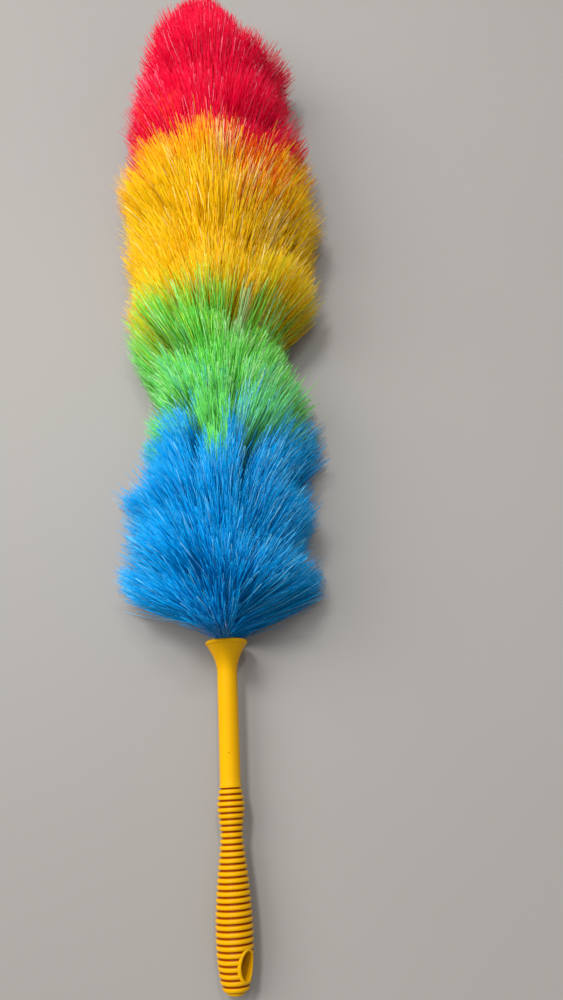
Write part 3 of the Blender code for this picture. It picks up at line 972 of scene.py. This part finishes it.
@functools.cache
def plastic_material():
    """Glossy moulded polypropylene, with painted shade making it darker and redder down in the grooves
    and inside the mouth.
    """
    nodes = Nodes("moulded_yellow_plastic")
    where = nodes.position()
    depth = nodes.attribute("depth")
    flow = nodes.noise(60, 4, 0.6, nodes.position((1, 0.15, 1)))
    base = nodes.mix(nodes.spread(flow, 0, 1, 0.3, 0.7), linear(208, 150, 0), linear(216, 162, 0))
    # Painted shade: darker and redder down in the grooves and inside the mouth, by the stored depth
    base = nodes.mix(nodes.spread(depth, 0, 1, 0.12, 0.75), base, linear(140, 44, 0))
    specks = nodes.spread(nodes.noise(420, 1, 0.3, where), 0, 1, 0.79, 0.82)
    base = nodes.mix(nodes.math("MULTIPLY", specks, 0.6), base, linear(130, 60, 0))
    fine = nodes.noise(1400, 3, 0.6, where)
    wear = nodes.noise(90, 5, 0.65, where)
    nodes.set(
        colour=base,
        roughness=nodes.spread(wear, 0.24, 0.4, 0.3, 0.7),
        normal=nodes.bump(fine, 0.12, 0.0002),
        specular=0.13,
    )
    return nodes.material


@functools.cache
def wire_material():
    """Galvanised wire, duller in patches."""
    nodes = Nodes("galvanised_wire")
    where = nodes.position()
    spangle = nodes.noise(700, 4, 0.6, where)
    base = nodes.ramp(spangle, [(0.3, linear(140, 144, 148)), (0.7, linear(205, 208, 212))])
    dull = nodes.noise(120, 3, 0.6, where)
    nodes.set(
        colour=base,
        metallic=1.0,
        roughness=nodes.spread(dull, 0.25, 0.55, 0.3, 0.7),
        normal=nodes.bump(spangle, 0.15, 0.0001),
    )
    return nodes.material


def cap_material():
    """Soft pale plastic."""
    nodes = Nodes("soft_cap_plastic")
    where = nodes.position()
    cloud = nodes.noise(150, 3, 0.6, where)
    nodes.set(
        colour=nodes.mix(cloud, linear(206, 206, 200), linear(232, 231, 224)),
        roughness=nodes.spread(nodes.noise(500, 3, 0.5, where), 0.32, 0.5),
        normal=nodes.bump(nodes.noise(1200, 2, 0.5, where), 0.1, 0.0002),
    )
    return nodes.material


# ---------------------------------------------------------------- stage, light and camera

FLOOR_SIZE = 30
WORLD_STRENGTH = 0.5
# Name, direction from the object with the camera's heading ahead, distance, width, power, and whether it
# shows in gloss
LAMPS = (
    ("lamp_left", (-0.34, 0.48, 1.0), 4.0, 0.7, 92, True),
    ("lamp_right", (0.13, 0.52, 1.0), 4.0, 0.5, 34, True),
    ("soft_left", (-1.0, 0.25, 0.85), 3.0, 2.0, 74, False),
)
CAMERA_PLACE = (0.0272, -0.2647, 0.460)
CAMERA_TURN = (math.radians(21.93), 0, math.radians(-3.083))
CAMERA_LENS = 27.72
CAMERA_SENSOR = 36


def make_floor():
    """The plain pale floor."""
    bpy.ops.mesh.primitive_plane_add(size=FLOOR_SIZE, location=(0, 0, 0))
    floor = bpy.context.object
    floor.name = "floor"
    nodes = Nodes("pale_floor")
    cloud = nodes.noise(3, 3, 0.5, nodes.position())
    nodes.set(
        colour=nodes.mix(cloud, linear(140, 137, 133), linear(146, 143, 139)),
        roughness=nodes.spread(cloud, 0.5, 0.6),
    )
    floor.data.materials.append(nodes.material)


def make_lights():
    """Soft lamps, turned with the camera's heading, and a faint even background."""
    heading = Matrix.Rotation(CAMERA_TURN[2], 3, "Z")
    for name, direction, distance, width, power, in_gloss in LAMPS:
        light = bpy.data.lights.new(name, "AREA")
        light.size = width
        light.energy = power
        lamp = bpy.data.objects.new(name, light)
        out = heading @ Vector(direction).normalized()
        lamp.location = out * distance
        lamp.rotation_euler = out.to_track_quat("Z", "Y").to_euler()
        lamp.visible_glossy = in_gloss
        bpy.context.scene.collection.objects.link(lamp)
    world = bpy.data.worlds.new("studio")
    bpy.context.scene.world = world
    world.use_nodes = True
    background = world.node_tree.nodes["Background"]
    background.inputs["Color"].default_value = (1.0, 0.98, 0.96, 1)
    background.inputs["Strength"].default_value = WORLD_STRENGTH
    world.cycles_visibility.glossy = False


def make_camera():
    """The camera, close above the handle and tilted towards the head."""
    data = bpy.data.cameras.new("camera")
    data.sensor_fit = "VERTICAL"
    data.sensor_height = CAMERA_SENSOR
    data.lens = CAMERA_LENS
    data.clip_start = 0.01
    camera = bpy.data.objects.new("camera", data)
    camera.location = CAMERA_PLACE
    camera.rotation_euler = CAMERA_TURN
    bpy.context.scene.collection.objects.link(camera)
    bpy.context.scene.camera = camera
    bpy.context.scene.view_settings.view_transform = "Standard"


make_camera()
make_handle()
make_plug()
for letter, phase in (("a", 0), ("b", math.pi)):
    make_wire(letter, phase)
make_cap()
make_head()
make_floor()
make_lights()
